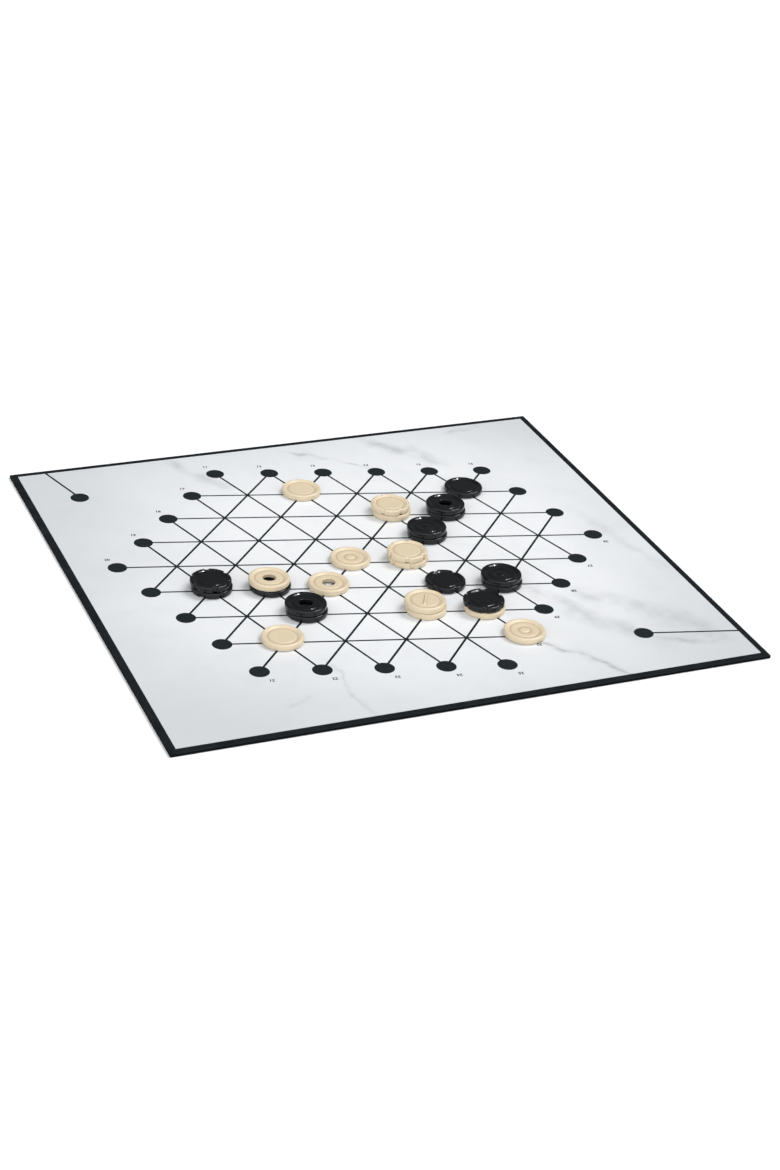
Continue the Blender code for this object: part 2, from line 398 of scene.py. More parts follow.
def row_ends(row):
    """The columns of a row's first and last spot. The outline is a hexagon whose left
    and right corners are cut, so each row starts half a column further out or in."""
    first = -row / 2 if row <= 4 else row / 2 - 4
    last = 5 + row / 2 if row <= 3 else 8 - row / 2
    return first, last


def rim_spots():
    """(column, row) of every spot round the rim of the lattice."""
    spots = [(column, 0) for column in range(6)]
    for row in range(1, LATTICE_ROWS):
        spots += [(end, row) for end in row_ends(row)]
    spots += [(column, LATTICE_ROWS) for column in range(5)]
    return spots


def lattice_lines():
    """Pairs of rim spots joined by a line: along rows, and along both diagonals. The
    sum, or difference, of column and half the row is the same all along a diagonal."""
    spots = rim_spots()
    lines = [tuple((end, row) for end in row_ends(row)) for row in range(1, LAST_LINE_ROW + 1)]
    for lean, numbers in ((0.5, range(1, 8)), (-0.5, range(-3, 5))):
        for number in numbers:
            on_line = [spot for spot in spots if abs(spot[0] + lean * spot[1] - number) < 0.01]
            on_line.sort(key=lambda spot: spot[1])
            lines.append((on_line[0], on_line[-1]))
    return lines


def spot_loop(middle, steps=64):
    angle = np.linspace(0, 2 * math.pi, steps, endpoint=False)
    return middle + SPOT_RADIUS * np.stack([np.cos(angle), np.sin(angle)], axis=1)


def line_loop(start, end):
    """The four corners of a straight printed line, anticlockwise."""
    along = (end - start) / np.linalg.norm(end - start)
    aside = np.array([-along[1], along[0]]) * LINE_WIDTH / 2
    return np.array([start - aside, end - aside, end + aside, start + aside])


def cut_at_sheet(start, direction):
    """Where a line that runs off the sheet meets its edge."""
    limits = np.where(direction > 0, face_high[:2], face_low[:2])
    reach = np.min((limits - start) / direction)
    return start + direction * (reach + LINE_WIDTH)


def numeral_loops(label, middle, turn):
    """The outlines of a printed number: a text object's filled shape, whose edges with a
    face on one side only are chained into loops, then turned and moved to its place."""
    curve = bpy.data.curves.new("numeral", "FONT")
    curve.body = label
    curve.size = NUMERAL_HEIGHT / 0.7
    curve.resolution_u = 3
    curve.offset = NUMERAL_BOLDNESS
    curve.align_x = "CENTER"
    curve.align_y = "CENTER"
    holder = bpy.data.objects.new("numeral", curve)
    bpy.context.scene.collection.objects.link(holder)
    mesh = bpy.data.meshes.new_from_object(holder.evaluated_get(bpy.context.evaluated_depsgraph_get()))
    points = np.array([vertex.co[:2] for vertex in mesh.vertices])
    places, merged = np.unique(np.round(points, 7), axis=0, return_inverse=True)
    merged = merged.reshape(-1)
    uses = {}
    for face in mesh.polygons:
        corners = [int(merged[vertex]) for vertex in face.vertices]
        for a, b in zip(corners, corners[1:] + corners[:1]):
            uses.setdefault((min(a, b), max(a, b)), []).append((a, b))
    onward = {way[0][0]: way[0][1] for way in uses.values() if len(way) == 1}
    loops = []
    while onward:
        start = next(iter(onward))
        chain = [start]
        step = onward.pop(start)
        while step != start:
            chain.append(step)
            step = onward.pop(step)
        loops.append(places[chain])
    bpy.data.objects.remove(holder)
    bpy.data.curves.remove(curve)
    bpy.data.meshes.remove(mesh)
    cosine, sine = math.cos(turn), math.sin(turn)
    spin = np.array([[cosine, sine], [-sine, cosine]])
    return [loop @ spin + middle for loop in loops]


def is_clockwise(loop):
    ahead = np.roll(loop, -1, axis=0)
    return np.sum(loop[:, 0] * ahead[:, 1] - ahead[:, 0] * loop[:, 1]) < 0


def numbered_spots():
    """(column, row) of the numbered spots and the side that their number stands on: the
    far and left-hand rim has its numbers above, the near and right-hand rim below."""
    far = [(column, 0) for column in range(6)] + [(row_ends(row)[0], row) for row in range(1, 5)]
    near = [(column, 8) for column in range(5)] + [(row_ends(row)[1], row) for row in range(3, 8)]
    return [(spot, 1) for spot in far] + [(spot, -1) for spot in near]


def printed_shapes():
    """(loops of solid shapes, loops of numerals) of everything printed in ink."""
    solid = [spot_loop(lattice_point(*spot)) for spot in rim_spots()]
    solid += [line_loop(lattice_point(*a), lattice_point(*b)) for a, b in lattice_lines()]
    for spot, beyond in (((-2.5, 1), (-3.0, 0)), ((6.5, 7), (7.5, 7))):
        start = lattice_point(*spot)
        direction = lattice_point(*beyond) - start
        solid += [spot_loop(start), line_loop(start, cut_at_sheet(start, direction / PITCH))]
    numerals = []
    for number, (spot, side) in enumerate(numbered_spots(), start=11):
        away = np.array([-0.09, 0.31]) if side > 0 else np.array([0.10, -0.30])
        turn = LATTICE_TURN if side > 0 else LATTICE_TURN + math.pi
        numerals += numeral_loops(str(number), lattice_point(*spot) + away * PITCH, turn)
    return solid, numerals


def face_sheet():
    """The sheet: its top is cut into triangles along every printed outline, so that each
    triangle is ink or bare paper, and its edge drops to the underside. A triangle is ink
    inside any solid shape, or inside an odd number of a numeral's outlines."""
    half = np.array([face_high.x, face_high.y]) - SHEET_ARRIS
    border = np.array([(-1, -1), (1, -1), (1, 1), (-1, 1)]) * half
    solid, numerals = printed_shapes()
    loops = [border] + solid + [loop[::-1] if is_clockwise(loop) else loop for loop in numerals]
    loops = [loop * 1000 for loop in loops]
    starts = np.cumsum([0] + [len(loop) for loop in loops])
    outlines = [list(range(a, b)) for a, b in zip(starts, starts[1:])]
    flat = [Vector(point) for point in np.concatenate(loops)]
    points, _, faces, _, _, inside = delaunay_2d_cdt(flat, [], outlines, 0, 1e-4)
    first_numeral = 1 + len(solid)
    kept, inked = [], []
    for face, found in zip(faces, inside):
        if 0 not in found:
            continue
        kept.append(tuple(face))
        in_solid = any(0 < shape < first_numeral for shape in found)
        in_numeral = sum(shape >= first_numeral for shape in found) % 2 == 1
        inked.append(1 if in_solid or in_numeral else 0)
    plan = np.array([point[:] for point in points]) / 1000
    directed = {}
    for face, ink in zip(kept, inked):
        for a, b in zip(face, face[1:] + face[:1]):
            directed[(a, b)] = ink
    onward = {a: (b, ink) for (a, b), ink in directed.items() if (b, a) not in directed}
    start = next(iter(onward))
    rim, rim_ink = [start], [onward[start][1]]
    while onward[rim[-1]][0] != start:
        rim.append(onward[rim[-1]][0])
        rim_ink.append(onward[rim[-1]][1])
    wider = plan[rim] * (half + SHEET_ARRIS) / half
    levels = [face_high.z - SHEET_ARRIS, face_low.z]
    points = [np.column_stack([plan, np.full(len(plan), face_high.z)])]
    points += [np.column_stack([wider, np.full(len(rim), level)]) for level in levels]
    count = len(rim)
    shoulder, foot = len(plan), len(plan) + count
    for i in range(count):
        j = (i + 1) % count
        kept.append((rim[j], rim[i], shoulder + i, shoulder + j))
        kept.append((shoulder + j, shoulder + i, foot + i, foot + j))
        inked += [rim_ink[i], 0]
    kept.append(tuple(foot + i for i in reversed(range(count))))
    inked.append(0)
    mesh = bpy.data.meshes.new("marble_face_sheet")
    mesh.from_pydata(np.concatenate(points).tolist(), [], kept)
    mesh.polygons.foreach_set("material_index", np.array(inked, dtype=np.int32))
    mesh.update()
    piece = bpy.data.objects.new("marble_face_sheet", mesh)
    bpy.context.scene.collection.objects.link(piece)
    return piece


def marble_vein_group():
    """One vein: a straight band, turned and placed on the board, whose line is pushed
    from side to side by noise. Mask is a thin core inside a soft halo, both fading out
    towards the band's ends and broken up by patches."""
    group, nodes, given, out, link = new_group(
        "marble vein",
        {
            "Middle": ("NodeSocketVector", (0.0, 0.0, 0.0)),
            "Turn": ("NodeSocketFloat", 0.0),
            "Half length": ("NodeSocketFloat", 0.05),
            "Half width": ("NodeSocketFloat", 0.004),
            "Halo": ("NodeSocketFloat", 0.5),
            "Core": ("NodeSocketFloat", 0.5),
        },
        {"Mask": ("NodeSocketFloat", 0.0)},
    )
    place = add_node(nodes, "ShaderNodeTexCoord")
    away = add_node(nodes, "ShaderNodeVectorMath", operation="SUBTRACT")
    link(place.outputs["Object"], away.inputs[0])
    link(given["Middle"], away.inputs[1])
    turned = add_node(nodes, "ShaderNodeVectorRotate", rotation_type="Z_AXIS", invert=True)
    link(away.outputs[0], turned.inputs["Vector"])
    link(given["Turn"], turned.inputs["Angle"])
    parts = add_node(nodes, "ShaderNodeSeparateXYZ")
    link(turned.outputs[0], parts.inputs[0])
    side = parts.outputs["Y"]
    for scale, reach in ((22.0, 0.030), (85.0, 0.009), (320.0, 0.0022)):
        noise = add_node(nodes, "ShaderNodeTexNoise", {"Scale": scale, "Detail": 2.0, "Roughness": 0.5})
        link(place.outputs["Object"], noise.inputs["Vector"])
        centred = calculate(nodes, link, "SUBTRACT", noise.outputs["Fac"], 0.5)
        pushed = calculate(nodes, link, "MULTIPLY_ADD", centred, reach, side)
        side = pushed
    distance = calculate(nodes, link, "ABSOLUTE", side)
    relative = calculate(nodes, link, "DIVIDE", distance, given["Half width"])
    halo = add_node(
        nodes, "ShaderNodeMapRange", {"From Max": 1.0, "To Max": 0.0}, interpolation_type="SMOOTHERSTEP"
    )
    core = add_node(
        nodes, "ShaderNodeMapRange", {"From Max": 0.3, "To Max": 0.0}, interpolation_type="SMOOTHSTEP"
    )
    link(relative, halo.inputs["Value"])
    link(given["Halo"], halo.inputs["To Min"])
    link(relative, core.inputs["Value"])
    link(given["Core"], core.inputs["To Min"])
    band = calculate(nodes, link, "ADD", halo.outputs["Result"], core.outputs["Result"])
    run = calculate(nodes, link, "ABSOLUTE", parts.outputs["X"])
    share = calculate(nodes, link, "DIVIDE", run, given["Half length"])
    ends = add_node(nodes, "ShaderNodeMapRange", {
        "From Min": 0.45, "From Max": 1.0, "To Min": 1.0, "To Max": 0.0,
    }, interpolation_type="SMOOTHSTEP")
    link(share, ends.inputs["Value"])
    patches = add_node(nodes, "ShaderNodeTexNoise", {"Scale": 48.0, "Detail": 3.0, "Roughness": 0.6})
    link(place.outputs["Object"], patches.inputs["Vector"])
    broken = add_node(nodes, "ShaderNodeMapRange", {
        "From Min": 0.36, "From Max": 0.62, "To Min": 0.15, "To Max": 1.0,
    })
    link(patches.outputs["Fac"], broken.inputs["Value"])
    mask = band
    for factor in (ends.outputs["Result"], broken.outputs["Result"]):
        product = calculate(nodes, link, "MULTIPLY", mask, factor)
        mask = product
    link(mask, out["Mask"])
    return group


# Middle, direction in degrees, half length, half width, and how dark the soft halo and
# the thin core are, of each vein
VEINS = (
    ((0.112, -0.105), -60, 0.070, 0.0150, 0.42, 0.15),
    ((0.160, -0.122), -50, 0.080, 0.0170, 0.50, 0.12),
    ((0.084, -0.155), -52, 0.052, 0.0060, 0.50, 0.50),
    ((0.168, -0.154), -16, 0.038, 0.0085, 0.55, 0.20),
    ((0.022, 0.160), -39, 0.048, 0.0055, 0.40, 0.35),
    ((0.086, 0.157), -55, 0.050, 0.0100, 0.55, 0.15),
    ((0.149, 0.181), 30, 0.022, 0.0060, 0.60, 0.20),
    ((-0.073, 0.157), -60, 0.040, 0.0100, 0.45, 0.10),
    ((-0.075, -0.150), 95, 0.046, 0.0045, 0.22, 0.22),
    ((-0.114, -0.154), 30, 0.014, 0.0050, 0.35, 0.10),
    ((0.185, -0.020), -75, 0.070, 0.0100, 0.18, 0.10),
)


def marble_print_material():
    """Coated paper printed to look like white marble: cloudy grey over near-white, with the
    veins in a warm grey. The colour is also whiter in the middle of the board and greyer
    towards its edges."""
    material, nodes, shader, link = new_material("marble print", roughness=0.42, specular=0.4)
    place = add_node(nodes, "ShaderNodeTexCoord")
    squeeze = add_node(nodes, "ShaderNodeMapping", {"Location": (-0.02, -0.01, 0), "Scale": (1.0, 1.08, 1.0)})
    link(place.outputs["Object"], squeeze.inputs["Vector"])
    from_middle = add_node(nodes, "ShaderNodeVectorMath", operation="LENGTH")
    link(squeeze.outputs["Vector"], from_middle.inputs[0])
    clouds = add_node(nodes, "ShaderNodeTexNoise", {
        "Scale": 9.0, "Detail": 6.0, "Roughness": 0.55, "Distortion": 0.6,
    })
    link(place.outputs["Object"], clouds.inputs["Vector"])
    reach = add_node(nodes, "ShaderNodeMath", {1: 0.11}, operation="MULTIPLY_ADD")
    link(clouds.outputs["Fac"], reach.inputs[0])
    link(from_middle.outputs["Value"], reach.inputs[2])
    # Greyer towards the edges of the board, whiter in its middle.
    outer = add_node(
        nodes, "ShaderNodeMapRange", {"From Min": 0.15, "From Max": 0.34}, interpolation_type="SMOOTHSTEP"
    )
    link(reach.outputs[0], outer.inputs["Value"])
    pale, greyer = (0.77, 0.785, 0.80, 1), (0.565, 0.585, 0.605, 1)
    ground = mix_colours(nodes, link, outer.outputs["Result"], pale, greyer)
    drift = add_node(nodes, "ShaderNodeTexNoise", {
        "Scale": 26.0, "Detail": 7.0, "Roughness": 0.6, "Distortion": 1.2,
    })
    link(place.outputs["Object"], drift.inputs["Vector"])
    haze = add_node(nodes, "ShaderNodeMapRange", {"From Min": 0.52, "From Max": 0.78, "To Max": 0.20})
    link(drift.outputs["Fac"], haze.inputs["Value"])
    hazed = mix_colours(nodes, link, haze.outputs["Result"], ground, (0.50, 0.52, 0.54, 1))
    vein = marble_vein_group()
    strongest = None
    for (x, y), degrees, half_length, half_width, halo, core in VEINS:
        one = place_group(nodes, vein, {
            "Middle": (x, y, 0.0), "Turn": math.radians(degrees), "Half length": half_length,
            "Half width": half_width, "Halo": halo, "Core": core,
        })
        if strongest is None:
            strongest = one.outputs["Mask"]
            continue
        larger = calculate(nodes, link, "MAXIMUM", strongest, one.outputs["Mask"])
        strongest = larger
    veined = mix_colours(nodes, link, strongest, hazed, (0.40, 0.415, 0.43, 1))
    fibre = place_group(nodes, paper_fibre, {"Scale": 1500.0, "Contrast": 0.06})
    toned = mix_colours(nodes, link, 1.0, veined, fibre.outputs["Tone"], "MULTIPLY")
    link(toned, shader.inputs["Base Color"])
    sheen = add_node(nodes, "ShaderNodeMapRange", {"To Min": 0.38, "To Max": 0.48})
    link(fibre.outputs["Height"], sheen.inputs["Value"])
    link(sheen.outputs["Result"], shader.inputs["Roughness"])
    bump = add_node(nodes, "ShaderNodeBump", {"Strength": 0.12, "Distance": 0.00003})
    link(fibre.outputs["Height"], bump.inputs["Height"])
    link(bump.outputs["Normal"], shader.inputs["Normal"])
    return material


def slate_ink_material():
    """Dark slate ink, a little mottled where the paper takes it unevenly."""
    material, nodes, shader, link = new_material("slate ink", roughness=0.55, specular=0.12)
    fibre = place_group(nodes, paper_fibre, {"Scale": 1500.0, "Contrast": 0.5})
    place = add_node(nodes, "ShaderNodeTexCoord")
    mottle = add_node(nodes, "ShaderNodeTexNoise", {"Scale": 320.0, "Detail": 4.0, "Roughness": 0.6})
    link(place.outputs["Object"], mottle.inputs["Vector"])
    thick_ink, thin_ink = (0.008, 0.0125, 0.0145, 1), (0.013, 0.0185, 0.021, 1)
    laid = mix_colours(nodes, link, mottle.outputs["Fac"], thick_ink, thin_ink)
    toned = mix_colours(nodes, link, 1.0, laid, fibre.outputs["Tone"], "MULTIPLY")
    link(toned, shader.inputs["Base Color"])
    bump = add_node(nodes, "ShaderNodeBump", {"Strength": 0.12, "Distance": 0.00003})
    link(fibre.outputs["Height"], bump.inputs["Height"])
    link(bump.outputs["Normal"], shader.inputs["Normal"])
    return material


marble_face_sheet = face_sheet()
marble_face_sheet.data.materials.append(marble_print_material())
marble_face_sheet.data.materials.append(slate_ink_material())
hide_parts("printed_face_sheet")
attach(marble_face_sheet, "board")


# ---- Playing discs ------------------------------------------------------------------
# Injection-moulded plastic discs, 28 mm across and 4.4 mm thick, ivory or black. All have
# a rounded rim round a groove; what lies inside the groove, or is cut in the rim, varies.

DISC_RADIUS = 0.014
RIM_CREST = (0.0127, 0.0044)
OUTER_GROOVE = (0.0096, 0.0034)
SHOULDER_DROP = 0.0012
LOWER_EDGE_WIDTH = 0.0012
LOWER_EDGE_HEIGHT = 0.0015
PARTING_LINE_HEIGHT = 0.0023
PARTING_LINE_PROUD = 0.00004
PARTING_LINE_HALF = 0.00016
RECESS_HEIGHT = 0.0012
UNDERSIDE = ((0.0128, 0.0), (0.0109, 0.0), (0.0101, RECESS_HEIGHT))
GATE_MARK = ((0.0014, RECESS_HEIGHT), (0.0011, 0.0010), (0.0, 0.0010))
PLATEAU = 0.0038
PLATEAU_RADIUS = 0.0095
UPPER_HALF = 0.0026
TOP_SIDE = 0.0030
HOLE_RADIUS = 0.0045
HOLE_LIP = 0.0005
HOLE_LOWER_LIP = 0.0003
SIDES = {"notched": 288, "bar": 240}
PLAIN_SIDES = 120
BAR_LENGTH = 0.0146
BAR_WIDTH = 0.0022
BAR_RISE = 0.0009
BAR_DIRECTION = math.radians(62)
BAR_FADE = 0.0012
NOTCHES = 6
NOTCH_DEPTH = 0.0013
NOTCH_FLAT = math.radians(4.5)
NOTCH_OPEN = math.radians(8.0)
NOTCH_FROM = 0.0108
NOTCH_FADE = 0.0022

# Where the grooves' dust and painted shade, and the rim's wear and painted highlight, lie
DUST_AND_SHADE_BELOW = 0.00358
DUST_AND_SHADE_FADE = 0.00018
DUST_AND_SHADE_WITHIN = 0.0110
BESIDE_BAR = 0.55
BESIDE_BAR_WIDTH = 0.0003
RIM_WEAR_AND_HIGHLIGHT_WIDTH = 0.0007
RIM_WEAR_AND_HIGHLIGHT_ABOVE = 0.0039

# Crests and hollows of each design's top, as (radius, height), from the groove inwards
TOPS = {
    "plain": ((0.0085, PLATEAU), (0.0, 0.00375)),
    "notched": ((0.0085, PLATEAU), (0.0, 0.00375)),
    "bar": ((0.0085, PLATEAU), (0.0, 0.00375)),
    "button": ((0.0085, PLATEAU), (0.0066, 0.00385), (0.0040, 0.0034), (0.0019, 0.0040), (0.0, 0.00402)),
    "hole": ((0.0085, PLATEAU), (0.0064, 0.00385), (HOLE_RADIUS + HOLE_LIP, PLATEAU)),
}
# How far each notched or bar disc is turned on its spot, in degrees
TURNS = {
    "ivory_notched_disc_2_upper": 44,
    "ivory_notched_disc_7_lower": 20,
    "ivory_notched_disc_7_upper": 8,
    "black_notched_disc_8_lower": 40,
    "black_notched_disc_8_upper": 24,
    "black_notched_disc_14": 39,
    "black_notched_disc_16_upper": 10,
    "ivory_bar_disc_13_lower": 40,
}


def eased(knots, spacing=0.00035):
    """(radius, height) rows through a chain of crests and hollows: between two of them
    the height follows half a cosine wave, so each is level where it turns."""
    rows = [knots[0]]
    for (r0, z0), (r1, z1) in zip(knots, knots[1:]):
        steps = max(2, math.ceil(math.hypot(r1 - r0, z1 - z0) / spacing))
        share = np.linspace(0, 1, steps + 1)[1:]
        heights = z0 + (z1 - z0) * (1 - np.cos(math.pi * share)) / 2
        rows += list(zip(r0 + (r1 - r0) * share, heights))
    return rows


def disc_profile(design):
    """(radius, height) rows from the middle of the underside, out under the foot, up the
    wall past the mould's parting line, over the rounded shoulder and in over the top."""
    has_hole = design == "hole"
    angle = np.linspace(-math.pi / 2, 0, 10)[1:]
    lower_edge = list(zip(
        DISC_RADIUS - LOWER_EDGE_WIDTH * (1 - np.cos(angle)),
        LOWER_EDGE_HEIGHT * (1 + np.sin(angle)),
    ))
    seam = PARTING_LINE_HEIGHT
    wall = [
        (DISC_RADIUS, seam - PARTING_LINE_HALF),
        (DISC_RADIUS + PARTING_LINE_PROUD, seam),
        (DISC_RADIUS, seam + PARTING_LINE_HALF),
    ]
    angle = np.linspace(0, math.pi / 2, 14)
    crest_radius, crest_height = RIM_CREST
    shoulder = list(zip(
        crest_radius + (DISC_RADIUS - crest_radius) * np.cos(angle),
        crest_height - SHOULDER_DROP + SHOULDER_DROP * np.sin(angle),
    ))
    top = eased((RIM_CREST, OUTER_GROOVE) + TOPS[design])[1:]
    if has_hole:
        angle = np.linspace(math.pi / 2, math.pi, 6)[1:]
        lip = list(zip(
            HOLE_RADIUS + HOLE_LIP * (1 + np.cos(angle)),
            PLATEAU - HOLE_LIP * (1 - np.sin(angle)),
        ))
        angle = np.linspace(math.pi, math.pi * 1.5, 5)
        under_lip = list(zip(
            HOLE_RADIUS + HOLE_LOWER_LIP * (1 + np.cos(angle)),
            RECESS_HEIGHT + HOLE_LOWER_LIP * (1 + np.sin(angle)),
        ))
        top += lip + under_lip
        under = eased(tuple(reversed(UNDERSIDE)))
    else:
        under = eased(tuple(reversed(UNDERSIDE + GATE_MARK)))[1:]
        top = top[:-1]
    return np.array(under + lower_edge + wall + shoulder + top)


def notch_cut(angle):
    """How deep the rim is cut back at each angle: level notches whose sides follow half a
    cosine wave, depth * (1 + cos(pi * share)) / 2."""
    apart = 2 * math.pi / NOTCHES
    off = np.abs((angle + apart / 2) % apart - apart / 2)
    share = np.clip((off - NOTCH_FLAT) / (NOTCH_OPEN - NOTCH_FLAT), 0, 1)
    return NOTCH_DEPTH * (1 + np.cos(math.pi * share)) / 2


def bar_rise(across, along):
    """Height of the raised bar: a rounded ridge that fades out at its two ends."""
    ridge = np.cos(np.clip(across / BAR_WIDTH, -0.5, 0.5) * math.pi) ** 1.2
    ends = np.clip((BAR_LENGTH / 2 - np.abs(along)) / BAR_FADE, 0, 1)
    return BAR_RISE * ridge * ends * ends * (3 - 2 * ends)


def disc(node):
    """One disc in its place: its profile turned about the disc's axis, the rim pressed
    in at the notches, and the bar added to the top. Two attributes go with the points:
    one is 1 at the bottom of a groove and beside the bar, for dust and painted shade there,
    and the other is 1 along the top of the rim, for its wear and a painted highlight."""
    low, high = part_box(node)
    colour, design = node.split("_")[:2]
    sides = SIDES.get(design, PLAIN_SIDES)
    profile = disc_profile(design)
    radius, height = profile[:, :1], profile[:, 1:]
    angle = np.linspace(0, 2 * math.pi, sides, endpoint=False)[None, :]
    reach = np.repeat(radius, sides, axis=1)
    rise = np.repeat(height, sides, axis=1)
    if design == "notched":
        press = np.clip((reach - NOTCH_FROM) / NOTCH_FADE, 0, 1)
        reach = reach - notch_cut(angle) * press * press * (3 - 2 * press)
    turn = math.radians(TURNS.get(node, 0))
    if design == "bar":
        x, y = reach * np.cos(angle), reach * np.sin(angle)
        along = x * math.cos(BAR_DIRECTION) + y * math.sin(BAR_DIRECTION)
        across = y * math.cos(BAR_DIRECTION) - x * math.sin(BAR_DIRECTION)
        rise = rise + bar_rise(across, along) * (rise > UPPER_HALF) * (reach < PLATEAU_RADIUS)
    middle = (low + high) / 2
    rings = np.stack([
        middle.x + reach * np.cos(angle + turn),
        middle.y + reach * np.sin(angle + turn),
        low.z + rise,
    ], axis=-1)
    piece = skin(node + "_moulded", rings, tube=design == "hole")
    # Dust and painted shade at the bottom of the grooves; on ivory its colour is a brown painted shade.
    dust_and_shade = np.clip((DUST_AND_SHADE_BELOW - rise) / DUST_AND_SHADE_FADE, 0, 1)
    dust_and_shade = dust_and_shade * (reach < DUST_AND_SHADE_WITHIN) * (rise > TOP_SIDE)
    if design == "bar":
        # Painted shade along both sides of the raised bar.
        beside = np.exp(-(((np.abs(across) - BAR_WIDTH * BESIDE_BAR) / BESIDE_BAR_WIDTH) ** 2))
        on_plateau = (rise > TOP_SIDE) * (reach < PLATEAU_RADIUS)
        dust_and_shade = np.maximum(dust_and_shade, beside * (np.abs(along) < BAR_LENGTH / 2) * on_plateau)
    # Rim top: lighter where worn, with a painted highlight along the crest.
    rim_wear_and_highlight = np.exp(-(((reach - RIM_CREST[0]) / RIM_WEAR_AND_HIGHLIGHT_WIDTH) ** 2)) * (rise > RIM_WEAR_AND_HIGHLIGHT_ABOVE)
    for label, values in (("dust_and_shade", dust_and_shade), ("rim_wear_and_highlight", rim_wear_and_highlight)):
        spare = len(piece.data.vertices) - values.size
        whole = np.concatenate([values.ravel(), np.zeros(spare)]).astype(np.float32)
        piece.data.attributes.new(label, "FLOAT", "POINT").data.foreach_set("value", whole)
    return piece


def moulded_surface_group():
    """The skin of a moulded disc: slow flow marks from the mould, a fine grain, hairline
    scratches from sliding on the board, dust and painted shade in the grooves and beside
    the bar, and a lighter rim top that is wear and a painted highlight."""
    group, nodes, given, out, link = new_group(
        "moulded surface",
        {
            "Colour": ("NodeSocketColor", (0.8, 0.8, 0.8, 1)),
            "Dust and shade": ("NodeSocketColor", (0.5, 0.5, 0.5, 1)),
            "Dust and shade amount": ("NodeSocketFloat", 0.3),
            "Rim wear and highlight": ("NodeSocketColor", (0.9, 0.9, 0.9, 1)),
            "Rim wear and highlight amount": ("NodeSocketFloat", 0.3),
            "Gloss low": ("NodeSocketFloat", 0.25),
            "Gloss high": ("NodeSocketFloat", 0.4),
        },
        {
            "Colour": ("NodeSocketColor", (0.8, 0.8, 0.8, 1)),
            "Roughness": ("NodeSocketFloat", 0.3),
            "Height": ("NodeSocketFloat", 0.0),
        },
    )
    place = add_node(nodes, "ShaderNodeTexCoord")
    flow = add_node(nodes, "ShaderNodeTexNoise", {
        "Scale": 110.0, "Detail": 3.0, "Roughness": 0.5, "Distortion": 1.5,
    })
    link(place.outputs["Object"], flow.inputs["Vector"])
    shade = add_node(nodes, "ShaderNodeMapRange", {"To Min": 0.93, "To Max": 1.06})
    link(flow.outputs["Fac"], shade.inputs["Value"])
    body = mix_colours(nodes, link, 1.0, given["Colour"], shade.outputs["Result"], "MULTIPLY")
    grain = add_node(nodes, "ShaderNodeTexNoise", {"Scale": 2600.0, "Detail": 3.0, "Roughness": 0.6})
    link(place.outputs["Object"], grain.inputs["Vector"])
    # Dust and painted shade in the grooves and beside the bar, speckled by the grain.
    dust_and_shade = add_node(nodes, "ShaderNodeAttribute", attribute_name="dust_and_shade")
    dust_and_shade_share = calculate(nodes, link, "MULTIPLY", dust_and_shade.outputs["Fac"], given["Dust and shade amount"])
    speckled_dust_and_shade = calculate(nodes, link, "MULTIPLY", dust_and_shade_share, grain.outputs["Fac"])
    dusted_and_shaded = mix_colours(nodes, link, speckled_dust_and_shade, body, given["Dust and shade"])
    # The rim top is lightened in patches: wear, and a painted highlight.
    rim_wear_and_highlight = add_node(nodes, "ShaderNodeAttribute", attribute_name="rim_wear_and_highlight")
    patches = add_node(nodes, "ShaderNodeTexNoise", {"Scale": 420.0, "Detail": 4.0, "Roughness": 0.7})
    link(place.outputs["Object"], patches.inputs["Vector"])
    patchy_rim = add_node(nodes, "ShaderNodeMapRange", {"From Min": 0.45, "From Max": 0.7})
    link(patches.outputs["Fac"], patchy_rim.inputs["Value"])
    rim_wear_and_highlight_share = calculate(nodes, link, "MULTIPLY", rim_wear_and_highlight.outputs["Fac"], patchy_rim.outputs["Result"])
    share = calculate(nodes, link, "MULTIPLY", rim_wear_and_highlight_share, given["Rim wear and highlight amount"])
    finished = mix_colours(nodes, link, share, dusted_and_shaded, given["Rim wear and highlight"])
    link(finished, out["Colour"])
    scratches = None
    for turn, stretch in ((0.5, 14.0), (2.1, 18.0)):
        mapping = add_node(nodes, "ShaderNodeMapping", {
            "Rotation": (0, 0, turn), "Scale": (stretch, 1.0, 1.0),
        })
        lines = add_node(nodes, "ShaderNodeTexNoise", {"Scale": 190.0, "Detail": 2.0, "Roughness": 0.5})
        link(place.outputs["Object"], mapping.inputs["Vector"])
        link(mapping.outputs["Vector"], lines.inputs["Vector"])
        thin = add_node(nodes, "ShaderNodeMapRange", {"From Min": 0.66, "From Max": 0.72})
        link(lines.outputs["Fac"], thin.inputs["Value"])
        if scratches is None:
            scratches = thin.outputs["Result"]
            continue
        larger = calculate(nodes, link, "MAXIMUM", scratches, thin.outputs["Result"])
        scratches = larger
    cloudy = add_node(nodes, "ShaderNodeMapRange", {"From Min": 0.3, "From Max": 0.7})
    link(patches.outputs["Fac"], cloudy.inputs["Value"])
    link(given["Gloss low"], cloudy.inputs["To Min"])
    link(given["Gloss high"], cloudy.inputs["To Max"])
    dull = calculate(nodes, link, "MULTIPLY_ADD", scratches, 0.12, cloudy.outputs["Result"])
    duller = calculate(nodes, link, "MULTIPLY_ADD", dust_and_shade_share, 0.25, dull)
    link(duller, out["Roughness"])
    ripple = calculate(nodes, link, "MULTIPLY", grain.outputs["Fac"], 0.3)
    cut = calculate(nodes, link, "MULTIPLY_ADD", scratches, -0.5, ripple)
    waves = calculate(nodes, link, "MULTIPLY_ADD", flow.outputs["Fac"], 1.2, cut)
    link(waves, out["Height"])
    return group


moulded_surface = moulded_surface_group()


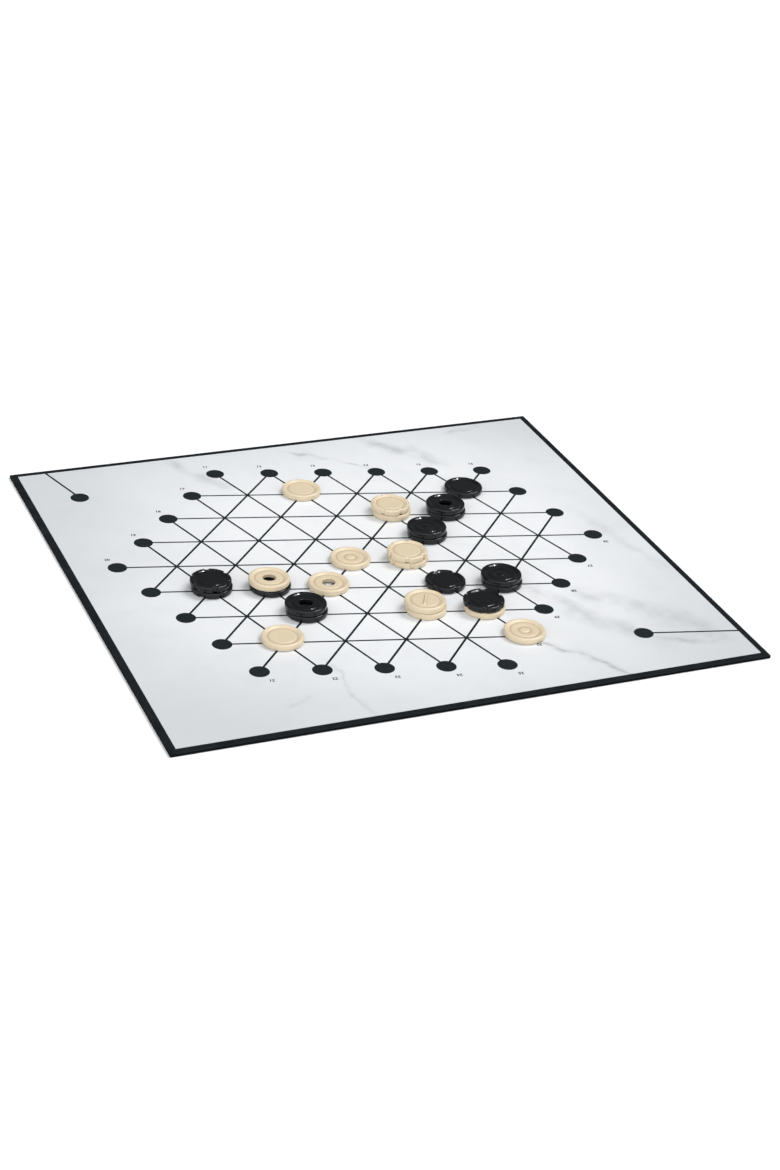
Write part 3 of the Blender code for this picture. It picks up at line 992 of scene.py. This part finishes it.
def plastic_material(name, values, specular, bump_depth):
    """Plastic of one colour, with the moulded surface laid over it."""
    material, nodes, shader, link = new_material(name, specular=specular)
    surface = place_group(nodes, moulded_surface, values)
    link(surface.outputs["Colour"], shader.inputs["Base Color"])
    link(surface.outputs["Roughness"], shader.inputs["Roughness"])
    bump = add_node(nodes, "ShaderNodeBump", {"Strength": 0.25, "Distance": bump_depth})
    link(surface.outputs["Height"], bump.inputs["Height"])
    link(bump.outputs["Normal"], shader.inputs["Normal"])
    return material


plastics = {
    # Each plastic's colour, the colour of its groove dust and painted shade, and the lighter colour of its
    # worn rim top with its painted highlight.
    "ivory": plastic_material("ivory plastic", {
        "Colour": (0.66, 0.555, 0.39, 1), "Dust and shade": (0.34, 0.22, 0.14, 1), "Dust and shade amount": 1.0,
        "Rim wear and highlight": (0.80, 0.70, 0.56, 1), "Rim wear and highlight amount": 0.35, "Gloss low": 0.30, "Gloss high": 0.42,
    }, specular=0.45, bump_depth=0.00003),
    "black": plastic_material("black plastic", {
        "Colour": (0.0065, 0.0070, 0.0080, 1), "Dust and shade": (0.010, 0.010, 0.011, 1), "Dust and shade amount": 0.4,
        "Rim wear and highlight": (0.03, 0.031, 0.033, 1), "Rim wear and highlight amount": 0.3, "Gloss low": 0.10, "Gloss high": 0.16,
    }, specular=0.32, bump_depth=0.000004),
}

for node in sorted(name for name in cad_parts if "_disc_" in name):
    piece = disc(node)
    colour = node.split("_")[0]
    piece.data.materials.append(plastics[colour])
    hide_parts(node)
    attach(piece, node)


# ---- Table top ----------------------------------------------------------------------
# A plain, very pale table that the board lies on. It is not part of the set.

TABLE_HALF = 4.0
TABLE_DROP = 0.0001
TABLE_POINTS = 9


def table_top():
    """A flat square on a grid of points."""
    steps = np.linspace(-TABLE_HALF, TABLE_HALF, TABLE_POINTS)
    across, along = np.meshgrid(steps, steps)
    height = np.full(across.size, cover_low.z - TABLE_DROP)
    points = np.stack([across.ravel(), along.ravel(), height], axis=1)
    index = np.arange(across.size).reshape(across.shape)
    faces = np.stack([index[:-1, :-1], index[:-1, 1:], index[1:, 1:], index[1:, :-1]], axis=-1).reshape(-1, 4)
    mesh = bpy.data.meshes.new("table_top")
    mesh.from_pydata(points.tolist(), [], faces.tolist())
    piece = bpy.data.objects.new("table_top", mesh)
    bpy.context.scene.collection.objects.link(piece)
    return piece


def table_material():
    """White lacquer with the faintest unevenness."""
    material, nodes, shader, link = new_material("white lacquer", roughness=0.9, specular=0.0)
    place = add_node(nodes, "ShaderNodeTexCoord")
    noise = add_node(nodes, "ShaderNodeTexNoise", {"Scale": 40.0, "Detail": 3.0})
    link(place.outputs["Object"], noise.inputs["Vector"])
    tint = mix_colours(nodes, link, noise.outputs["Fac"], (0.93, 0.93, 0.93, 1), (0.95, 0.95, 0.95, 1))
    link(tint, shader.inputs["Base Color"])
    return material


table = table_top()
table.data.materials.append(table_material())


# ---- Studio -------------------------------------------------------------------------
# One broad soft light high over the right-hand end of the board, a small sharp one a
# little higher and further round that puts the sparks on the glossy discs, a room that is
# bright on the near side, and the camera beyond the board's near left corner.

KEY_AZIMUTH, KEY_ELEVATION = math.radians(2), math.radians(54)
KEY_STRENGTH, KEY_SPREAD, KEY_COLOUR = 1.4, math.radians(26), (1.0, 0.99, 0.975)
SPARK_AZIMUTH, SPARK_ELEVATION = math.radians(20), math.radians(65)
SPARK_STRENGTH, SPARK_SPREAD, SPARK_COLOUR = 0.4, math.radians(2.5), (1.0, 1.0, 1.0)
ROOM_LIFT = 0.36
ROOM_DIM, ROOM_BRIGHT = 0.15, 1.70
ROOM_DIM_BELOW, ROOM_BRIGHT_ABOVE = -0.1, 0.9
CAMERA_AIM = Vector((-0.0012, -0.0352, face_high.z))
CAMERA_DISTANCE = 1.546
CAMERA_AZIMUTH, CAMERA_ELEVATION = math.radians(24.69), math.radians(29.06)
CAMERA_ROLL = math.radians(4.5)
CAMERA_LENS = 70.32


def sun(name, azimuth, elevation, strength, spread, colour):
    """A distant light that shines from one direction. Spread is its width in the sky."""
    lamp = bpy.data.lights.new(name, "SUN")
    lamp.energy = strength
    lamp.angle = spread
    lamp.color = colour
    holder = bpy.data.objects.new(name, lamp)
    holder.rotation_euler = (0, math.pi / 2 - elevation, azimuth)
    bpy.context.scene.collection.objects.link(holder)


def room():
    """Even soft surroundings: bright on the near side and overhead, and dim beyond the
    board towards the horizon."""
    world = bpy.data.worlds.new("room")
    bpy.context.scene.world = world
    world.use_nodes = True
    nodes, link = world.node_tree.nodes, world.node_tree.links.new
    place = add_node(nodes, "ShaderNodeTexCoord")
    toward = Vector((-math.sin(CAMERA_AZIMUTH), -math.cos(CAMERA_AZIMUTH), ROOM_LIFT)).normalized()
    front = add_node(nodes, "ShaderNodeVectorMath", {1: toward}, operation="DOT_PRODUCT")
    link(place.outputs["Generated"], front.inputs[0])
    glow = add_node(nodes, "ShaderNodeMapRange", {
        "From Min": ROOM_DIM_BELOW, "From Max": ROOM_BRIGHT_ABOVE,
        "To Min": ROOM_DIM, "To Max": ROOM_BRIGHT,
    })
    link(front.outputs["Value"], glow.inputs["Value"])
    link(glow.outputs["Result"], nodes["Background"].inputs["Strength"])
    nodes["Background"].inputs["Color"].default_value = (0.985, 0.99, 1.0, 1)


def camera():
    """Looks down at the board from beyond its near left corner, turned a little on its
    own axis."""
    flat = math.cos(CAMERA_ELEVATION)
    away, aside = math.cos(CAMERA_AZIMUTH), math.sin(CAMERA_AZIMUTH)
    view = Vector((flat * aside, flat * away, -math.sin(CAMERA_ELEVATION)))
    level = Vector((away, -aside, 0))
    right = level * math.cos(CAMERA_ROLL) + level.cross(view) * math.sin(CAMERA_ROLL)
    place = Matrix((right, right.cross(view), -view)).transposed().to_4x4()
    place.translation = CAMERA_AIM - view * CAMERA_DISTANCE
    data = bpy.data.cameras.new("camera")
    data.lens = CAMERA_LENS
    data.clip_start = 0.01
    holder = bpy.data.objects.new("camera", data)
    holder.matrix_world = place
    bpy.context.scene.collection.objects.link(holder)
    bpy.context.scene.camera = holder


sun("key", KEY_AZIMUTH, KEY_ELEVATION, KEY_STRENGTH, KEY_SPREAD, KEY_COLOUR)
sun("spark", SPARK_AZIMUTH, SPARK_ELEVATION, SPARK_STRENGTH, SPARK_SPREAD, SPARK_COLOUR)
room()
camera()
bpy.context.scene.view_settings.view_transform = "Standard"
